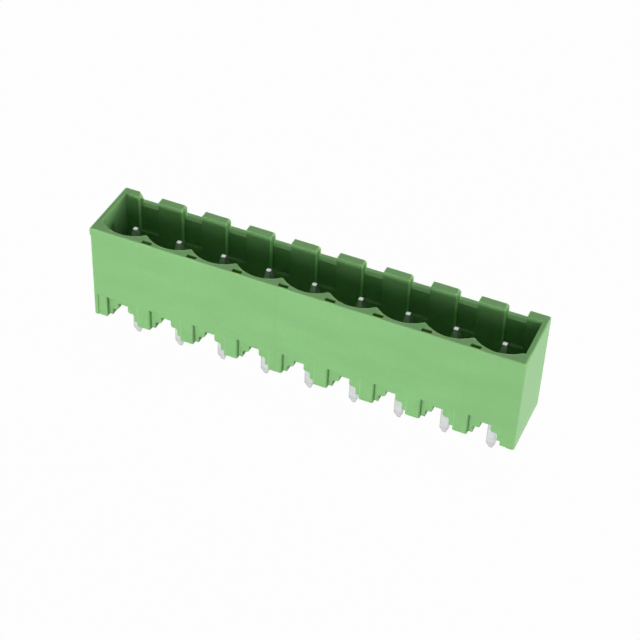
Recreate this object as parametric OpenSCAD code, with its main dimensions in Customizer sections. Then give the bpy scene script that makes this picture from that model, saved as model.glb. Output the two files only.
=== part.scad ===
// Vertical board-side header of a pluggable terminal block: one moulded
// housing with a row of square pins pressed through its floor.
// Origin: on the board surface, below the middle of the pin row.
// +Z leaves the board, +X follows the row, -Y is the scalloped front wall.

/* [Row] */
// Number of pins in the row
poles = 9; // [2:1:24]
// Distance from one pin to the next
pitch = 5.08; // [5:0.01:6.2]
// Housing beyond the centre of each end pin
end_margin = 3.28; // [3.2:0.01:4.2]

/* [Housing] */
// Distance from the pin row to the outer front face
front_depth = 3.75; // [3.7:0.05:4.6]
// Distance from the pin row to the outer back face
back_depth = 3.95; // [3.85:0.05:4.8]
// Height of the housing above the board
body_h = 11.5; // [11:0.1:14]
// Thickness of the socket floor
floor_t = 1.37; // [1:0.01:2]
// Thickness of the end walls
end_wall = 0.57; // [0.45:0.01:0.75]
// Radius of the upright outer corners
corner_r = 0.25; // [0.1:0.05:0.4]
// Radius of the outer top edges
rim_r = 0.15; // [0.05:0.01:0.25]
// Radius of the right end's top edge beside the front wall
rim_front_r = 0.24; // [0.05:0.01:0.3]
// Length of that part of the edge
rim_front_l = 1.77; // [0.5:0.01:3]
// Height of the square top of the left front corner
square_h = 0.9; // [0.5:0.1:2]

/* [Scalloped front wall] */
// Wall left at the deepest point of each scallop
front_wall = 0.47; // [0.4:0.01:0.7]
// Radius of each scallop
bay_r = 3.55; // [3.3:0.05:4.5]
// Width of the flat crest between two scallops
crest_w = 0.2; // [0.1:0.05:0.5]
// Length of the pocket in each crest, along the row
pocket_l = 1.1; // [0.6:0.01:1.2]
// Width of the pocket, across the wall
pocket_w = 0.47; // [0.3:0.01:0.5]
// Depth of the pocket
pocket_h = 0.45; // [0.2:0.05:2]
// Wall between the pocket and the front face
pocket_wall = 0.17; // [0.15:0.01:0.25]
// Distance from the middle of the crest to the near end of the pocket
pocket_x = 0.02; // [0:0.01:0.1]

/* [Tabbed back wall] */
// Thickness of the back wall at its tabs
tab_t = 0.9; // [0.8:0.05:1.1]
// Width of the notch in front of each pin
notch_w = 2.12; // [1.8:0.02:2.4]
// Depth of the notch below the top of the tabs
notch_h = 1.19; // [0.8:0.01:1.6]
// How far the wall steps back inside the notch
recess_t = 0.4; // [0.2:0.05:0.45]
// Height of the recess below the bottom of the notch
recess_h = 3.21; // [2:0.01:5]
// Height of the bevel along the top of the notch
bevel_h = 0.15; // [0.05:0.01:0.3]
// Depth of the bevel along the top of the notch
bevel_t = 0.38; // [0.1:0.01:0.45]
// Chamfer on the upright front edge at the right side of each tab
tab_chamfer = 0.22; // [0.1:0.02:0.3]
// Radius of the right top edge of each tab
tab_r = 0.32; // [0.1:0.02:0.4]
// Radius of the left top edge of each tab
tab_small_r = 0.1; // [0.05:0.01:0.2]
// Width of the sloping shoulder at the back of the left end tab
shoulder_w = 0.45; // [0.2:0.05:0.8]
// Height of the sloping shoulder at the back of the left end tab
shoulder_h = 1.05; // [0.4:0.01:1.1]
// How far the shoulder reaches into the notch at its foot
shoulder_foot = 0.16; // [0:0.01:0.3]

/* [Latch ridge] */
// How far the ridge stands out of the back face
ridge_t = 0.4; // [0.2:0.05:0.6]
// Height of the ridge's upright face
ridge_h = 0.6; // [0.3:0.05:1]
// Height of the ramp below the ridge
ramp_h = 0.85; // [0.4:0.05:1.5]

/* [Base] */
// Height of the set-back base
base_h = 2.78; // [2.4:0.02:3.1]
// How far the base is set back from the front and back faces
setback = 0.45; // [0.3:0.05:0.6]
// Height of the gap between the legs and the board
leg_gap = 0.18; // [0.05:0.01:0.3]
// Width of each foot
foot_w = 1.6; // [1.2:0.05:2]
// Depth of each foot under the housing
foot_l = 0.9; // [0.7:0.05:1.4]
// How far the feet lie behind the wall above them
foot_inset = 0.08; // [0.04:0.01:0.15]
// Radius of the upright edges of the feet
foot_r = 0.2; // [0.05:0.01:0.3]
// Width of the full-depth strip at the left end
left_strip = 0.5; // [0.3:0.05:1]
// Width of the full-depth strip at the right end
right_strip = 0.85; // [0.3:0.05:1]
// Width of the channel between two legs
channel_w = 2.56; // [2.2:0.02:2.9]
// Height of the channel's step above the board
channel_h = 1.08; // [0.8:0.02:1.3]
// Width of the narrow slot over the channel
slot_w = 1.1; // [1.04:0.01:1.3]
// Height of the top of the slot above the board
slot_h = 1.93; // [1.7:0.01:2.3]
// Radius of the corners of the step
step_r = 0.25; // [0.1:0.05:0.3]

/* [Pins] */
// Width of the square pins
pin_w = 1; // [0.8:0.01:1.02]
// Radius of the long edges of the pins
pin_r = 0.12; // [0.02:0.01:0.2]
// Height of the pins above the board
pin_top = 9.9; // [8:0.1:10.8]
// Height of the pyramid at the top of the pins
point_h = 1.35; // [0.5:0.05:2.5]
// Width of the flat top of the pins
point_w = 0.46; // [0.3:0.02:0.7]
// Length of the pins below the board surface
solder_l = 4.26; // [2.5:0.02:5]
// Height of the taper at the solder end
tail_h = 0.95; // [0.5:0.05:1.6]
// Width of the flat solder tip
tail_w = 0.32; // [0.2:0.02:0.6]

/* [Hidden] */
$fn = 48;
// Pressed pins fill their holes
pin_fit = 0;
// Overrun of the cuts
cut = 1;
first_x = -(poles - 1) * pitch / 2;
half_len = -first_x + end_margin;
inner_x = half_len - end_wall;
floor_z = slot_h + floor_t;
bay_y = -front_depth + front_wall + bay_r;
crest_y = bay_y - sqrt(bay_r * bay_r - pow((pitch - crest_w) / 2, 2));
rim_y = -front_depth + rim_front_l;
tab_y = back_depth - tab_t;
notch_z = body_h - notch_h;
recess_z = notch_z - recess_h;
wall_y = tab_y + recess_t;
shoulder_tilt = atan(shoulder_h * norm([shoulder_w, tab_t]) / (tab_t * (shoulder_w + shoulder_foot)));
base_front = -front_depth + setback;
base_back = back_depth - setback;

function pin_x(i) = first_x + (i - 1) * pitch;

// Square corner with its inside rounded away, for fillets
module fillet_2d(r) {
    difference() {
        square(r);
        translate([r, r]) circle(r);
    }
}

// Rectangle between two corners, with round corners
module round_rect(x0, y0, x1, y1, r) {
    translate([x0 + r, y0]) square([x1 - x0 - 2 * r, y1 - y0]);
    translate([x0, y0 + r]) square([x1 - x0, y1 - y0 - 2 * r]);
    for (x = [x0 + r, x1 - r], y = [y0 + r, y1 - r])
        translate([x, y]) circle(r, $fn = 24);
}

// Profile in Y and Z carried along X from x0 to x1
module along_x(x0, x1) {
    translate([x0, 0, 0])
        rotate([90, 0, 90])
            linear_extrude(x1 - x0) children();
}

// Profile in X and Z carried along Y from y0 to y1
module along_y(y0, y1) {
    translate([0, y1, 0])
        rotate([90, 0, 0])
            linear_extrude(y1 - y0) children();
}

// Outer block, wider at the walls and set back at the base
module outer_block() {
    translate([0, 0, base_h])
        linear_extrude(body_h - base_h)
            round_rect(-half_len, -front_depth, half_len, back_depth, corner_r);
    translate([-half_len, -front_depth, body_h - square_h])
        cube([corner_r, corner_r, square_h]);
    translate([-half_len + corner_r, base_front, leg_gap])
        cube([2 * (half_len - corner_r), base_back - base_front, base_h - leg_gap]);
    along_x(-half_len + corner_r, half_len - corner_r)
        polygon([
            [back_depth - cut, notch_z - ridge_h - ramp_h],
            [back_depth, notch_z - ridge_h - ramp_h],
            [back_depth + ridge_t, notch_z - ridge_h],
            [back_depth + ridge_t, notch_z],
            [back_depth - cut, notch_z]
        ]);
}

// Posts that stand on the board between the pins, front and back
module feet() {
    for (i = [1 : poles - 1])
        translate([pin_x(i) + pitch / 2 - foot_w / 2, 0, 0])
            linear_extrude(base_h) {
                translate([0, -front_depth + foot_inset]) foot_plan();
                translate([0, back_depth - foot_inset]) mirror([0, 1]) foot_plan();
            }
}

// Rectangle with the two outer corners of a foot rounded
module foot_plan() {
    difference() {
        square([foot_w, foot_l]);
        fillet_2d(foot_r);
        translate([foot_w, 0]) mirror([1, 0]) fillet_2d(foot_r);
    }
}

// End blocks: a strip as deep as the walls and half a foot beside it
module end_blocks() {
    foot_x = -first_x + pitch / 2 - foot_w / 2;
    linear_extrude(base_h) {
        difference() {
            round_rect(-half_len, -front_depth, half_len, back_depth, corner_r);
            translate([-half_len + left_strip, -front_depth - cut])
                square([2 * half_len - left_strip - right_strip, 2 * cut + front_depth + back_depth]);
        }
        for (side = [-1, 1])
            translate([side > 0 ? foot_x : -half_len + corner_r, -front_depth + foot_inset])
                square([half_len - corner_r - foot_x, front_depth + back_depth - 2 * foot_inset]);
    }
}

// Open socket: straight part and one scallop for each pin
module socket() {
    translate([0, 0, floor_z])
        linear_extrude(body_h - floor_z + cut) {
            translate([-inner_x, crest_y])
                square([2 * inner_x, tab_y - crest_y]);
            for (i = [1 : poles])
                translate([pin_x(i), 0])
                    intersection() {
                        translate([0, bay_y]) circle(bay_r, $fn = 96);
                        translate([(crest_w - pitch) / 2, -front_depth])
                            square([pitch - crest_w, front_depth + bay_y]);
                    }
        }
}

// Pockets in the crests of the front wall
module pockets() {
    for (i = [1 : poles - 1])
        translate([pin_x(i) + pitch / 2 + pocket_x, -front_depth + pocket_wall, body_h - pocket_h])
            cube([pocket_l, pocket_w, pocket_h + cut]);
}

// Notch and recess in the back wall at one pin, its left side leaning in by
// lean at the back face
module notch(lean) {
    translate([0, 0, recess_z])
        linear_extrude(notch_z - recess_z)
            notch_plan(wall_y, 0);
    translate([0, 0, notch_z])
        linear_extrude(notch_h + cut)
            notch_plan(back_depth + cut, lean);
    along_y(tab_y - cut, back_depth + cut) {
        if (lean == 0)
            translate([-notch_w / 2, body_h]) rotate(180) fillet_2d(tab_r);
        translate([notch_w / 2, body_h]) mirror([0, 1]) fillet_2d(tab_small_r);
    }
    along_x(-notch_w / 2, notch_w / 2)
        polygon([
            [wall_y - cut, notch_z - bevel_h],
            [wall_y, notch_z - bevel_h],
            [wall_y + bevel_t, notch_z],
            [wall_y - cut, notch_z]
        ]);
}

module notch_plan(back_y, lean) {
    w = notch_w / 2;
    polygon([
        [-w - tab_chamfer - cut, tab_y - cut],
        [-w, tab_y + tab_chamfer],
        [-w + lean * (back_y - tab_y) / tab_t, back_y],
        [w, back_y],
        [w, tab_y - cut]
    ]);
}

// Sloping shoulder: a plane that starts at the front top corner of the left
// end tab and falls towards the back of the notch
module shoulder() {
    x = first_x - notch_w / 2;
    reach = tab_t + notch_h + 2 * cut;
    intersection() {
        translate([x - shoulder_w - cut, tab_y - cut, notch_z])
            cube([shoulder_w + cut + 2 * shoulder_foot, tab_t + 2 * cut, notch_h + cut]);
        translate([x, tab_y, body_h])
            rotate([0, shoulder_tilt, atan(shoulder_w / tab_t)])
                translate([-reach, -reach, 0])
                    cube([2 * reach, 2 * reach, reach]);
    }
}

// Stepped channel under one pin, right through from front to back
module channel() {
    w = channel_w / 2;
    s = slot_w / 2;
    along_y(-front_depth - cut, back_depth + cut) {
        difference() {
            translate([-w, -cut]) square([channel_w, channel_h + cut]);
            for (side = [0, 1])
                mirror([side, 0])
                    translate([w, channel_h])
                        rotate(180) fillet_2d(step_r);
        }
        translate([-s, 0]) square([slot_w, slot_h]);
        for (side = [0, 1])
            mirror([side, 0])
                translate([s, channel_h]) fillet_2d(step_r);
    }
}

// Round of the outer top edges
module rim_rounding() {
    along_x(-half_len - cut, half_len + cut)
        translate([-front_depth, body_h]) mirror([0, 1]) fillet_2d(rim_r);
    along_y(-front_depth - cut, back_depth + cut) {
        translate([-half_len, body_h]) mirror([0, 1]) fillet_2d(rim_r);
        translate([half_len, body_h]) rotate(180) fillet_2d(rim_r);
    }
    along_y(-front_depth - cut, rim_y)
        translate([half_len, body_h]) rotate(180) fillet_2d(rim_front_r);
}

module housing() {
    color("#8fc487")
        difference() {
            union() {
                outer_block();
                feet();
                end_blocks();
            }
            socket();
            pockets();
            shoulder();
            rim_rounding();
            for (i = [1 : poles])
                translate([pin_x(i), 0, 0]) {
                    notch(i == 1 ? shoulder_foot : 0);
                    channel();
                    translate([0, 0, slot_h - cut])
                        linear_extrude(floor_t + 2 * cut)
                            pin_plan(pin_w + pin_fit);
                }
        }
}

// Square with the long edges of a pin rounded
module pin_plan(w) {
    round_rect(-w / 2, -w / 2, w / 2, w / 2, pin_r);
}

// Outline of a pin seen from one side
module pin_outline() {
    polygon([
        [-tail_w / 2, -solder_l],
        [tail_w / 2, -solder_l],
        [pin_w / 2, -solder_l + tail_h],
        [pin_w / 2, pin_top - point_h],
        [point_w / 2, pin_top],
        [-point_w / 2, pin_top],
        [-pin_w / 2, pin_top - point_h],
        [-pin_w / 2, -solder_l + tail_h]
    ]);
}

module pin(i) {
    color("#c9cdd0")
        translate([pin_x(i), 0, 0])
            intersection() {
                along_y(-pin_w, pin_w) pin_outline();
                along_x(-pin_w, pin_w) pin_outline();
                translate([0, 0, -solder_l - cut])
                    linear_extrude(solder_l + pin_top + 2 * cut)
                        pin_plan(pin_w);
            }
}

housing();
for (i = [1 : poles])
    pin(i);
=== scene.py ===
"""Dresses the board-side header of a pluggable terminal block: moulded green
housing, tin plated pins, and a plain pale stage with soft light."""

import math

import bpy
from bpy.props import FloatProperty, FloatVectorProperty, PointerProperty
from mathutils import Matrix, Vector


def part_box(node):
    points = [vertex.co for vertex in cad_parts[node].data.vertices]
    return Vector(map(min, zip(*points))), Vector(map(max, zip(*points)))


bl_info = {
    "name": "Terminal Block Header",
    "version": (1, 0, 0),
    "blender": (4, 5, 0),
    "location": "View3D > Sidebar > Header",
    "description": "Finishes a board-side terminal block header and sets up its stage",
    "category": "Object",
}

MM = 0.001

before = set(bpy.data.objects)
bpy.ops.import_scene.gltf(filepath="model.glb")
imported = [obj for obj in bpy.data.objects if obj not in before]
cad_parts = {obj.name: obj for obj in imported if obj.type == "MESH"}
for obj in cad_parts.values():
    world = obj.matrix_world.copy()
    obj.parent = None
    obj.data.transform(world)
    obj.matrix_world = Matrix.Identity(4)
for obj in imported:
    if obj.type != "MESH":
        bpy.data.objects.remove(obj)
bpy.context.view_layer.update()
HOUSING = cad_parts["housing"]
PINS = [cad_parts[name] for name in sorted(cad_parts) if name.startswith("pin_")]
LOW, HIGH = (Vector(corner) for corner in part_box("housing"))
PIN_LOW = Vector(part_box("pin_1")[0])
PITCH = (Vector(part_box(PINS[-1].name)[0]) - Vector(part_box(PINS[0].name)[0])).length / (
    len(PINS) - 1
)

# Housing
FLOW_WIDTH = 3.0 * MM
EDGE_REACH = 0.4 * MM  # how deep the painted edge highlight reaches into the plastic behind an edge
SHADING_RADIUS = 0.08 * MM  # over which the shading of an edge turns
SCATTER_DEPTH = 0.25 * MM
RIM_BELOW_TOP = 3 * MM  # the thin walls, and the painted highlight on their tops, start this far under the top
RIM_FADE = 1 * MM
# Tool seams, counted in pin spacings from the middle: four of the eight places show one.
SEAM_STEPS = (-3.5, -2.5, -0.5, 3.5)
SEAM_INNER = 0.02 * MM
SEAM_OUTER = 0.05 * MM

# Pins
DRAWING_LINE_WIDTH = 0.12 * MM
CLOUD_WIDTH = 0.6 * MM
EDGE_SHADE_REACH = 0.22 * MM
TAPER_LINE_INNER = 0.03 * MM
TAPER_LINE_OUTER = 0.06 * MM

# CAD meshes
JOIN_DISTANCE = 0.0005 * MM
FLAT_ANGLE = math.radians(0.5)
SHARP_ANGLE = math.radians(35)

# Stage, in metres
FLOOR_HALF = 0.6
FIBRE_WIDTH = 1.5 * MM
WHITE_SHARE = 0.98  # of what the camera sees on the floor; the rest is the lit board
LAMP_DISTANCE = 0.4
SENSOR_WIDTH_MM = 36
# The camera's aim, from the origin across and up its own view.
AIM_ACROSS = 0.91 * MM
AIM_UP = 3.85 * MM


def linear_rgba(hex_colour):
    """The linear colour, with alpha 1, of an sRGB hex value."""
    parts = [int(hex_colour[i : i + 2], 16) / 255 for i in (1, 3, 5)]
    return [c / 12.92 if c <= 0.04045 else ((c + 0.055) / 1.055) ** 2.4 for c in parts] + [1.0]


WHITE = linear_rgba("#FFFFFF")


def add_node(tree, kind, sockets=None, **settings):
    """Adds a node, sets its settings, and fills its sockets with values or links."""
    node = tree.nodes.new(kind)
    for key, value in settings.items():
        setattr(node, key, value)
    for key, value in (sockets or {}).items():
        if isinstance(value, bpy.types.NodeSocket):
            tree.links.new(value, node.inputs[key])
        else:
            node.inputs[key].default_value = value
    return node


def empty_material(name):
    """A material with a bare node tree."""
    old = bpy.data.materials.get(name)
    if old:
        bpy.data.materials.remove(old)
    material = bpy.data.materials.new(name)
    material.use_nodes = True
    material.node_tree.nodes.clear()
    return material


def direction_from(azimuth, elevation):
    """Unit vector from the header towards a place round it and above the table."""
    return Vector(
        (
            math.sin(azimuth) * math.cos(elevation),
            -math.cos(azimuth) * math.cos(elevation),
            math.sin(elevation),
        )
    )


# --------------------------------------------------------------------------
# Settings


class HousingFinish(bpy.types.PropertyGroup):
    """Moulded housing."""

    colour: FloatVectorProperty(
        name="Colour",
        description="Colour of the moulded plastic",
        subtype="COLOR",
        size=4,
        min=0,
        max=1,
        default=linear_rgba("#85BA7A"),
    )
    roughness: FloatProperty(
        name="Roughness",
        description="Roughness of the moulded skin",
        subtype="FACTOR",
        min=0.1,
        max=1,
        default=0.42,
    )
    grain_width: FloatProperty(
        name="Grain",
        description="Width of the mould's spark texture",
        subtype="DISTANCE",
        precision=6,
        min=0.05 * MM,
        max=1 * MM,
        default=0.22 * MM,
    )
    edge_radius: FloatProperty(
        name="Edge radius",
        description="Radius of the small moulded edges",
        subtype="DISTANCE",
        precision=6,
        min=0.01 * MM,
        max=0.1 * MM,
        default=0.05 * MM,
    )
    # Painted highlight: how much paler the tabs' chamfers are drawn.
    painted_chamfer_highlight: FloatProperty(
        name="Corner paleness",
        description="How much paler the chamfered corners of the tabs are",
        subtype="FACTOR",
        min=0,
        max=1,
        default=0.8,
    )
    # Painted highlight: how much paler the tops of the thin walls are drawn.
    painted_rim_highlight: FloatProperty(
        name="Rim paleness",
        description="How much paler the thin rims are",
        subtype="FACTOR",
        min=0,
        max=1,
        default=0.28,
    )
    # Painted highlight: the paler, yellower green given to outward edges facing up and to the right
    # end.
    painted_edge_highlight_colour: FloatVectorProperty(
        name="Edge colour",
        description="Colour of the thin edges, where light passes through the plastic",
        subtype="COLOR",
        size=4,
        min=0,
        max=1,
        default=linear_rgba("#A6D57C"),
    )


class PinFinish(bpy.types.PropertyGroup):
    """Plated pins."""

    colour: FloatVectorProperty(
        name="Colour",
        description="Colour of the tin plating",
        subtype="COLOR",
        size=4,
        min=0,
        max=1,
        default=linear_rgba("#D2D6D5"),
    )
    roughness: FloatProperty(
        name="Roughness",
        description="Roughness of the plating",
        subtype="FACTOR",
        min=0.05,
        max=1,
        default=0.34,
    )
    taper_height: FloatProperty(
        name="Tail taper",
        description="Height of the tapered end of the tails",
        subtype="DISTANCE",
        precision=6,
        min=0.2 * MM,
        max=3 * MM,
        default=0.95 * MM,
    )
    edge_radius: FloatProperty(
        name="Edge radius",
        description="Radius of the pins' edges",
        subtype="DISTANCE",
        precision=6,
        min=0.01 * MM,
        max=0.15 * MM,
        default=0.05 * MM,
    )


class StageSetup(bpy.types.PropertyGroup):
    """Floor, light and camera."""

    floor_colour: FloatVectorProperty(
        name="Floor",
        description="Colour of the floor",
        subtype="COLOR",
        size=4,
        min=0,
        max=1,
        default=linear_rgba("#F4F4F2"),
    )
    front_level: FloatProperty(
        name="Front lamps",
        description="Light on the front wall, where 1 shows white as white",
        subtype="FACTOR",
        min=0,
        soft_max=1,
        default=0.74,
    )
    right_level: FloatProperty(
        name="Right strip",
        description="Light on the right end, where 1 shows white as white",
        subtype="FACTOR",
        min=0,
        soft_max=1,
        default=0.66,
    )
    left_level: FloatProperty(
        name="Left strip",
        description="Light on the left end, where 1 shows white as white",
        subtype="FACTOR",
        min=0,
        soft_max=1,
        default=0.45,
    )
    back_level: FloatProperty(
        name="Back strip",
        description="Light on the back wall, where 1 shows white as white",
        subtype="FACTOR",
        min=0,
        soft_max=1,
        default=0.4,
    )
    top_level: FloatProperty(
        name="Back and top lamps",
        description="Light from above the back, where 1 shows white as white",
        subtype="FACTOR",
        min=0,
        soft_max=1,
        default=0.26,
    )
    sky_level: FloatProperty(
        name="Surroundings",
        description="Even light from all round, where 1 shows white as white",
        subtype="FACTOR",
        min=0,
        soft_max=1,
        default=0.05,
    )
    azimuth: FloatProperty(
        name="Azimuth",
        description="Camera angle round the header",
        subtype="ANGLE",
        default=math.radians(21.98),
    )
    elevation: FloatProperty(
        name="Elevation",
        description="Camera angle above the board",
        subtype="ANGLE",
        default=math.radians(41.17),
    )
    roll: FloatProperty(
        name="Roll",
        description="Tilt of the camera",
        subtype="ANGLE",
        default=math.radians(2.74),
    )
    distance: FloatProperty(
        name="Distance",
        description="From the camera to its aim",
        subtype="DISTANCE",
        default=0.18476,
    )
    lens_mm: FloatProperty(
        name="Lens",
        description="Focal length",
        unit="CAMERA",
        default=99.72,
    )


class HeaderSettings(bpy.types.PropertyGroup):
    """Sizes and colours of the header and its stage."""

    housing: PointerProperty(type=HousingFinish)
    pins: PointerProperty(type=PinFinish)
    stage: PointerProperty(type=StageSetup)


# --------------------------------------------------------------------------
# Materials


def paint_chamfer_highlight(tree, place, gain):
    """Painted highlight on the tabs' chamfers: they are drawn paler, standing in for the light that
    falls on them from the right front and passes through their plastic. The flat walls face along
    an axis, so the chamfers are where a level normal does not. The scallops, which face the back,
    and the front half are left out."""
    depth = add_node(tree, "ShaderNodeSeparateXYZ", {"Vector": place}).outputs["Y"]
    normal = add_node(tree, "ShaderNodeTexCoord").outputs["Normal"]
    faces = add_node(tree, "ShaderNodeSeparateXYZ", {"Vector": normal}).outputs
    size = [
        add_node(
            tree, "ShaderNodeMath", {0: faces[axis]}, operation="ABSOLUTE"
        ).outputs["Value"]
        for axis in "XYZ"
    ]
    most = add_node(
        tree, "ShaderNodeMath", {0: size[0], 1: size[1]}, operation="MAXIMUM"
    ).outputs["Value"]
    corner = add_node(
        tree,
        "ShaderNodeMapRange",
        {"Value": most, "From Min": 0.97, "From Max": 0.8, "To Min": 0.0, "To Max": gain},
        interpolation_type="SMOOTHSTEP",
    ).outputs["Result"]
    level_face = (size[2], 0.5, 0.2)
    towards_front = (faces["Y"], 0.1, -0.1)
    back_half = (depth, 0.0, 1 * MM)
    for value, none, full in (level_face, towards_front, back_half):
        share = add_node(
            tree, "ShaderNodeMapRange", {"Value": value, "From Min": none, "From Max": full}
        ).outputs["Result"]
        corner = add_node(
            tree, "ShaderNodeMath", {0: corner, 1: share}, operation="MULTIPLY"
        ).outputs["Value"]
    return add_node(
        tree, "ShaderNodeMath", {0: corner, 1: 1.0}, operation="ADD"
    ).outputs["Value"]


def tool_seams(tree, place):
    """1 on the faint lines where inserts of the tool meet, halfway between two pins.
    The real lines are about 0.02 mm wide; they are drawn at 0.07 mm so that they show."""
    along = add_node(tree, "ShaderNodeSeparateXYZ", {"Vector": place}).outputs["X"]
    lines = 0.0
    for step in SEAM_STEPS:
        offset = add_node(
            tree, "ShaderNodeMath", {0: along, 1: step * PITCH}, operation="SUBTRACT"
        ).outputs["Value"]
        offset = add_node(
            tree, "ShaderNodeMath", {0: offset}, operation="ABSOLUTE"
        ).outputs["Value"]
        line = add_node(
            tree,
            "ShaderNodeMapRange",
            {"Value": offset, "From Min": SEAM_OUTER, "From Max": SEAM_INNER},
        ).outputs["Result"]
        lines = add_node(
            tree, "ShaderNodeMath", {0: line, 1: lines}, operation="ADD"
        ).outputs["Value"]
    return lines


def moulded_pbt(look):
    """PBT, the glass filled polyester of connector housings, moulded in a spark-textured
    tool: an opaque satin green, a shade uneven where the melt flowed, with a fine grain."""
    material = empty_material("moulded_pbt")
    tree = material.node_tree
    place = add_node(tree, "ShaderNodeTexCoord").outputs["Object"]

    # Flow marks are drawn out along the row, a few millimetres wide.
    stretched = add_node(
        tree, "ShaderNodeMapping", {"Vector": place, "Scale": (0.35, 1, 1)}
    ).outputs["Vector"]
    flow = add_node(
        tree,
        "ShaderNodeTexNoise",
        {"Vector": stretched, "Scale": 1 / FLOW_WIDTH, "Detail": 3.0, "Roughness": 0.6},
    ).outputs["Fac"]
    shade = add_node(
        tree,
        "ShaderNodeMapRange",
        {"Value": flow, "From Min": 0.3, "From Max": 0.7, "To Min": 0.96, "To Max": 1.04},
    ).outputs["Result"]

    # The real grain is about 0.03 mm; it is drawn at the grain setting so that it shows.
    grain = add_node(
        tree,
        "ShaderNodeTexNoise",
        {"Vector": place, "Scale": 1 / look.grain_width, "Detail": 2.0},
    ).outputs["Fac"]
    speck = add_node(
        tree,
        "ShaderNodeMapRange",
        {"Value": grain, "From Min": 0.3, "From Max": 0.7, "To Min": 0.975, "To Max": 1.025},
    ).outputs["Result"]

    seams = tool_seams(tree, place)
    faint = add_node(
        tree, "ShaderNodeMapRange", {"Value": seams, "To Min": 1.0, "To Max": 0.96}
    ).outputs["Result"]

    # No edge of a moulding is quite sharp, so the shading turns gently over each one.
    soft = add_node(
        tree, "ShaderNodeBevel", {"Radius": SHADING_RADIUS}, samples=6
    ).outputs["Normal"]
    turned = add_node(tree, "ShaderNodeSeparateXYZ", {"Vector": soft}).outputs

    # Painted highlight: faces turned upwards near the top of the thin socket walls are drawn paler,
    # standing in for light on the tops and through the thin plastic.
    height = add_node(tree, "ShaderNodeSeparateXYZ", {"Vector": place}).outputs["Z"]
    rim_start = HIGH.z - RIM_BELOW_TOP
    rim = look.painted_rim_highlight
    faces_up = (turned["Z"], 0.4, 0.9)
    near_top = (height, rim_start, rim_start + RIM_FADE)
    for value, none, full in (faces_up, near_top):
        share = add_node(
            tree, "ShaderNodeMapRange", {"Value": value, "From Min": none, "From Max": full}
        ).outputs["Result"]
        rim = add_node(
            tree, "ShaderNodeMath", {0: rim, 1: share}, operation="MULTIPLY"
        ).outputs["Value"]
    rim = add_node(tree, "ShaderNodeMath", {0: rim, 1: 1.0}, operation="ADD").outputs["Value"]

    level = shade
    for factor in (speck, paint_chamfer_highlight(tree, place, look.painted_chamfer_highlight), faint, rim):
        level = add_node(
            tree, "ShaderNodeMath", {0: level, 1: factor}, operation="MULTIPLY"
        ).outputs["Value"]
    colour = add_node(
        tree, "ShaderNodeVectorMath", {0: tuple(look.colour[:3]), "Scale": level}, operation="SCALE"
    ).outputs["Vector"]

    # Painted highlight: outward edges that turn towards the top and the right end are given a
    # paler, yellower green, standing in for the light that falls on them and gets through the thin
    # plastic. Openness is 1 over thick plastic and 0.5 on a square edge.
    openness = add_node(
        tree,
        "ShaderNodeAmbientOcclusion",
        {"Distance": EDGE_REACH},
        inside=True,
        only_local=True,
        samples=8,
    ).outputs["AO"]
    edge = add_node(
        tree,
        "ShaderNodeMapRange",
        {"Value": openness, "From Min": 0.72, "From Max": 0.52, "To Max": 0.95},
    ).outputs["Result"]
    lit = add_node(
        tree, "ShaderNodeMath", {0: turned["Z"], 1: 0.4}, operation="MULTIPLY"
    ).outputs["Value"]
    lit = add_node(
        tree, "ShaderNodeMath", {0: turned["X"], 1: lit}, operation="MAXIMUM"
    ).outputs["Value"]
    lit = add_node(
        tree, "ShaderNodeMapRange", {"Value": lit, "From Min": 0.1, "From Max": 0.6}
    ).outputs["Result"]
    edge = add_node(
        tree, "ShaderNodeMath", {0: edge, 1: lit}, operation="MULTIPLY"
    ).outputs["Value"]
    # Inputs 6 and 7 and output 2 of a mix node are its colours.
    colour = add_node(
        tree, "ShaderNodeMix", {0: edge, 6: colour, 7: look.painted_edge_highlight_colour}, data_type="RGBA"
    ).outputs[2]

    roughness = add_node(
        tree,
        "ShaderNodeMapRange",
        {
            "Value": flow,
            "From Min": 0.3,
            "From Max": 0.7,
            "To Min": look.roughness - 0.04,
            "To Max": look.roughness + 0.04,
        },
    ).outputs["Result"]
    bump = soft
    for relief, depth in ((grain, 0.006 * MM), (seams, 0.02 * MM)):
        bump = add_node(
            tree,
            "ShaderNodeBump",
            {"Strength": 0.25, "Distance": depth, "Height": relief, "Normal": bump},
        ).outputs["Normal"]
    shader = add_node(
        tree,
        "ShaderNodeBsdfPrincipled",
        {
            "Base Color": colour,
            "Roughness": roughness,
            "IOR": 1.55,
            "Specular IOR Level": 0.18,
            "Subsurface Weight": 0.25,
            "Subsurface Radius": (0.7, 1.0, 0.4),
            "Subsurface Scale": SCATTER_DEPTH,
            "Normal": bump,
        },
    )
    add_node(tree, "ShaderNodeOutputMaterial", {"Surface": shader.outputs["BSDF"]})
    return material


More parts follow.
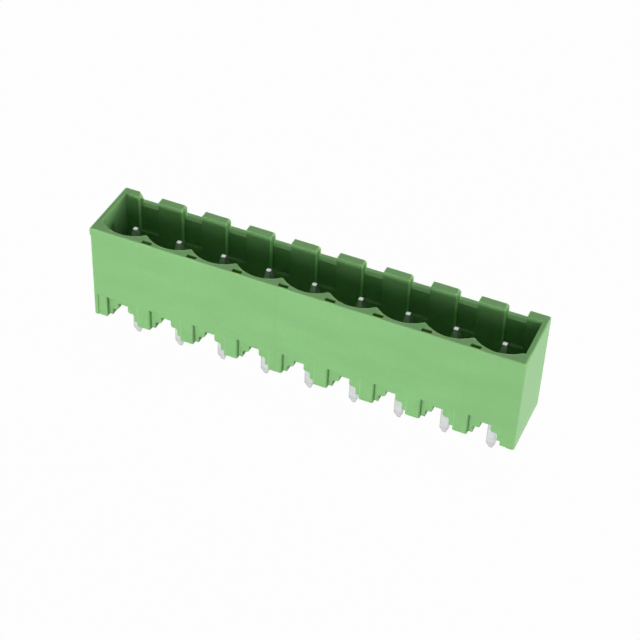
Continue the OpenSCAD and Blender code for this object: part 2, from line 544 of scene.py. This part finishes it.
def tin_plated_brass(look):
    """Brass wire drawn square and plated with matt tin: pale silver, with faint drawing
    lines along the pin and a slightly cloudy skin."""
    material = empty_material("tin_plated_brass")
    tree = material.node_tree
    place = add_node(tree, "ShaderNodeTexCoord").outputs["Object"]

    # Drawing lines run along Z. The real ones are under 0.02 mm wide, so they are drawn
    # coarser, as wide as they need to be to show.
    along = add_node(
        tree, "ShaderNodeMapping", {"Vector": place, "Scale": (1, 1, 0.05)}
    ).outputs["Vector"]
    lines = add_node(
        tree,
        "ShaderNodeTexNoise",
        {"Vector": along, "Scale": 1 / DRAWING_LINE_WIDTH, "Detail": 2.0},
    ).outputs["Fac"]
    cloud = add_node(
        tree, "ShaderNodeTexNoise", {"Vector": place, "Scale": 1 / CLOUD_WIDTH, "Detail": 3.0}
    ).outputs["Fac"]
    shade = add_node(
        tree,
        "ShaderNodeMapRange",
        {"Value": cloud, "From Min": 0.3, "From Max": 0.7, "To Min": 0.92, "To Max": 1.0},
    ).outputs["Result"]

    # Painted shade: the plating is darkened along the edges, standing in for the darker
    # surroundings their rounding reflects. A darker line is also drawn across the pin where the
    # tail's taper starts; it is drawn about 0.1 mm wide so that it shows.
    openness = add_node(
        tree,
        "ShaderNodeAmbientOcclusion",
        {"Distance": EDGE_SHADE_REACH},
        inside=True,
        only_local=True,
        samples=8,
    ).outputs["AO"]
    edges = add_node(
        tree,
        "ShaderNodeMapRange",
        {"Value": openness, "From Min": 0.93, "From Max": 0.6, "To Min": 1.0, "To Max": 0.72},
    ).outputs["Result"]
    height = add_node(tree, "ShaderNodeSeparateXYZ", {"Vector": place}).outputs["Z"]
    offset = add_node(
        tree,
        "ShaderNodeMath",
        {0: height, 1: PIN_LOW.z + look.taper_height},
        operation="SUBTRACT",
    ).outputs["Value"]
    offset = add_node(
        tree, "ShaderNodeMath", {0: offset}, operation="ABSOLUTE"
    ).outputs["Value"]
    taper_line = add_node(
        tree,
        "ShaderNodeMapRange",
        {
            "Value": offset,
            "From Min": TAPER_LINE_OUTER,
            "From Max": TAPER_LINE_INNER,
            "To Min": 1.0,
            "To Max": 0.8,
        },
    ).outputs["Result"]
    for dull in (edges, taper_line):
        shade = add_node(
            tree, "ShaderNodeMath", {0: shade, 1: dull}, operation="MULTIPLY"
        ).outputs["Value"]
    colour = add_node(
        tree, "ShaderNodeVectorMath", {0: tuple(look.colour[:3]), "Scale": shade}, operation="SCALE"
    ).outputs["Vector"]
    roughness = add_node(
        tree,
        "ShaderNodeMapRange",
        {
            "Value": cloud,
            "From Min": 0.3,
            "From Max": 0.7,
            "To Min": look.roughness - 0.06,
            "To Max": look.roughness + 0.08,
        },
    ).outputs["Result"]
    bump = add_node(
        tree, "ShaderNodeBump", {"Strength": 0.3, "Distance": 0.004 * MM, "Height": lines}
    ).outputs["Normal"]
    shader = add_node(
        tree,
        "ShaderNodeBsdfPrincipled",
        {"Base Color": colour, "Metallic": 1.0, "Roughness": roughness, "Normal": bump},
    )
    add_node(tree, "ShaderNodeOutputMaterial", {"Surface": shader.outputs["BSDF"]})
    return material


def shown_white(tree):
    """1 where the background is seen, straight, in gloss or through something clear, and
    0 once the ray has left a matt surface, so that it never lights the header."""
    rays = add_node(tree, "ShaderNodeLightPath").outputs
    seen = rays["Is Camera Ray"]
    for kind in ("Is Glossy Ray", "Is Transmission Ray"):
        seen = add_node(
            tree, "ShaderNodeMath", {0: seen, 1: rays[kind]}, operation="MAXIMUM"
        ).outputs["Value"]
    direct = add_node(
        tree, "ShaderNodeMath", {0: rays["Diffuse Depth"], 1: 0.5}, operation="LESS_THAN"
    ).outputs["Value"]
    return add_node(
        tree, "ShaderNodeMath", {0: seen, 1: direct}, operation="MULTIPLY"
    ).outputs["Value"]


def seamless_floor(look):
    """Matt white background board. It is seen almost wholly as plain white: only a trace
    of the lit board, and so of the header's shadow, is left in it."""
    material = empty_material("seamless_floor")
    tree = material.node_tree
    place = add_node(tree, "ShaderNodeTexCoord").outputs["Object"]
    fibre = add_node(
        tree, "ShaderNodeTexNoise", {"Vector": place, "Scale": 1 / FIBRE_WIDTH, "Detail": 2.0}
    ).outputs["Fac"]
    bump = add_node(
        tree, "ShaderNodeBump", {"Strength": 0.05, "Distance": 0.01 * MM, "Height": fibre}
    ).outputs["Normal"]
    board = add_node(
        tree,
        "ShaderNodeBsdfDiffuse",
        {"Color": look.floor_colour, "Roughness": 0.5, "Normal": bump},
    )
    glow = add_node(tree, "ShaderNodeEmission", {"Color": WHITE, "Strength": 1.0})
    share = add_node(
        tree, "ShaderNodeMath", {0: shown_white(tree), 1: WHITE_SHARE}, operation="MULTIPLY"
    ).outputs["Value"]
    mix = add_node(
        tree,
        "ShaderNodeMixShader",
        {"Fac": share, 1: board.outputs["BSDF"], 2: glow.outputs["Emission"]},
    )
    add_node(tree, "ShaderNodeOutputMaterial", {"Surface": mix.outputs["Shader"]})
    return material


# --------------------------------------------------------------------------
# Pieces


def use_material(piece, material):
    """Gives a CAD piece one material in its first slot."""
    piece.data.materials[0] = material


def round_edges(piece, radius, segments):
    """Joins the faces of a CAD solid, merges flat triangles and rounds its sharp edges."""
    for name in ("join_faces", "merge_flats", "round_edges"):
        old = piece.modifiers.get(name)
        if old:
            piece.modifiers.remove(old)
    join = piece.modifiers.new("join_faces", "WELD")
    join.merge_threshold = JOIN_DISTANCE
    flats = piece.modifiers.new("merge_flats", "DECIMATE")
    flats.decimate_type = "DISSOLVE"
    flats.angle_limit = FLAT_ANGLE
    edge = piece.modifiers.new("round_edges", "BEVEL")
    edge.width = radius
    edge.segments = segments
    edge.limit_method = "ANGLE"
    edge.angle_limit = SHARP_ANGLE
    edge.use_clamp_overlap = True
    edge.harden_normals = True


def area_light(name, level, azimuth, elevation, width, height, aim):
    """Soft light LAMP_DISTANCE from aim, width by height in metres, its angles in degrees.
    level is what it adds to a white face turned to it, where 1 is white: a lamp of power
    P at distance d gives P / (pi * pi * d * d)."""
    back = direction_from(math.radians(azimuth), math.radians(elevation))
    data = bpy.data.lights.new(name, "AREA")
    data.shape = "RECTANGLE"
    data.size = width
    data.size_y = height
    data.energy = level * math.pi**2 * LAMP_DISTANCE**2
    lamp = bpy.data.objects.new(name, data)
    lamp.location = aim + back * LAMP_DISTANCE
    lamp.rotation_mode = "QUATERNION"
    lamp.rotation_quaternion = (-back).to_track_quat("-Z", "Y")
    bpy.context.scene.collection.objects.link(lamp)
    return lamp


class HEADER_OT_finish_housing(bpy.types.Operator):
    """Gives the housing its moulded plastic and rounds its small edges"""

    bl_idname = "header.finish_housing"
    bl_label = "Finish Housing"

    def execute(self, context):
        look = context.scene.header.housing
        use_material(HOUSING, moulded_pbt(look))
        round_edges(HOUSING, look.edge_radius, segments=2)
        return {"FINISHED"}


class HEADER_OT_finish_pins(bpy.types.Operator):
    """Gives the pins their tin plating and rounds their edges"""

    bl_idname = "header.finish_pins"
    bl_label = "Finish Pins"

    def execute(self, context):
        look = context.scene.header.pins
        if not PINS:
            raise RuntimeError("the header has no pins")
        plating = tin_plated_brass(look)
        for pin in PINS:
            use_material(pin, plating)
            round_edges(pin, look.edge_radius, segments=3)
        return {"FINISHED"}


class HEADER_OT_set_stage(bpy.types.Operator):
    """Lays the pale floor and sets the lights, the surroundings and the camera"""

    bl_idname = "header.set_stage"
    bl_label = "Set Stage"

    def execute(self, context):
        look = context.scene.header.stage
        scene = context.scene

        mesh = bpy.data.meshes.new("stage_floor")
        corners = [
            (x * FLOOR_HALF, y * FLOOR_HALF, 0) for x, y in ((-1, -1), (1, -1), (1, 1), (-1, 1))
        ]
        mesh.from_pydata(corners, [], [(0, 1, 2, 3)])
        floor = bpy.data.objects.new("stage_floor", mesh)
        floor.location = (0, 0, PIN_LOW.z)
        mesh.materials.append(seamless_floor(look))
        scene.collection.objects.link(floor)

        # Long strips at table height all round, weak fills in front, and two weaker
        # lamps above the back, which don't show in gloss. Each has its level, its angles
        # round the header and above the table, and its width and height.
        aim = (LOW + HIGH) / 2
        for name, level, azimuth, elevation, width, height in (
            ("front_strip", look.front_level, -14, 3, 0.3, 0.05),
            ("front_fill", 0.04 * look.front_level, -5, 12, 0.3, 0.1),
            ("front_side_fill", 0.12 * look.front_level, 25, 15, 0.2, 0.1),
            ("right_strip", look.right_level, 97, 3, 0.15, 0.05),
            ("left_strip", look.left_level, -80, 3, 0.4, 0.05),
            ("back_strip", look.back_level, 180, 3, 0.4, 0.05),
            ("back_lamp", look.top_level, 180, 22, 0.3, 0.15),
            ("top_lamp", 0.55 * look.top_level, 180, 80, 0.25, 0.25),
        ):
            lamp = area_light(name, level, azimuth, elevation, width, height, aim)
            lamp.visible_glossy = name not in ("back_lamp", "top_lamp")

        world = bpy.data.worlds.new("surroundings")
        world.use_nodes = True
        tree = world.node_tree
        tree.nodes.clear()
        strength = add_node(
            tree,
            "ShaderNodeMapRange",
            {"Value": shown_white(tree), "To Min": look.sky_level, "To Max": 1.0},
        ).outputs["Result"]
        sky = add_node(tree, "ShaderNodeBackground", {"Color": WHITE, "Strength": strength})
        add_node(tree, "ShaderNodeOutputWorld", {"Surface": sky.outputs["Background"]})
        scene.world = world

        back = direction_from(look.azimuth, look.elevation)
        side = (-back).cross(Vector((0, 0, 1))).normalized()
        up = side.cross(-back)
        cos_roll, sin_roll = math.cos(look.roll), math.sin(look.roll)
        side, up = cos_roll * side + sin_roll * up, cos_roll * up - sin_roll * side
        data = bpy.data.cameras.new("camera")
        data.lens = look.lens_mm
        data.sensor_width = SENSOR_WIDTH_MM
        data.clip_start = 0.01
        data.clip_end = 10
        camera = bpy.data.objects.new("camera", data)
        target = AIM_ACROSS * side + AIM_UP * up
        camera.location = target + back * look.distance
        camera.rotation_mode = "QUATERNION"
        camera.rotation_quaternion = Matrix((side, up, back)).transposed().to_quaternion()
        scene.collection.objects.link(camera)
        scene.camera = camera
        scene.view_settings.view_transform = "Standard"
        return {"FINISHED"}


class HEADER_PT_panel(bpy.types.Panel):
    """Header tools in the sidebar"""

    bl_idname = "HEADER_PT_panel"
    bl_label = "Terminal Block Header"
    bl_space_type = "VIEW_3D"
    bl_region_type = "UI"
    bl_category = "Header"

    def draw(self, context):
        settings = context.scene.header
        parts = (
            (settings.housing, HEADER_OT_finish_housing),
            (settings.pins, HEADER_OT_finish_pins),
            (settings.stage, HEADER_OT_set_stage),
        )
        for group, operator in parts:
            box = self.layout.box()
            for name in group.__annotations__:
                box.prop(group, name)
            box.operator(operator.bl_idname)


CLASSES = (
    HousingFinish,
    PinFinish,
    StageSetup,
    HeaderSettings,
    HEADER_OT_finish_housing,
    HEADER_OT_finish_pins,
    HEADER_OT_set_stage,
    HEADER_PT_panel,
)


def register():
    for cls in CLASSES:
        bpy.utils.register_class(cls)
    bpy.types.Scene.header = PointerProperty(type=HeaderSettings)


def unregister():
    del bpy.types.Scene.header
    for cls in reversed(CLASSES):
        bpy.utils.unregister_class(cls)


def main():
    register()
    bpy.ops.header.finish_housing()
    bpy.ops.header.finish_pins()
    bpy.ops.header.set_stage()


if __name__ == "__main__":
    main()
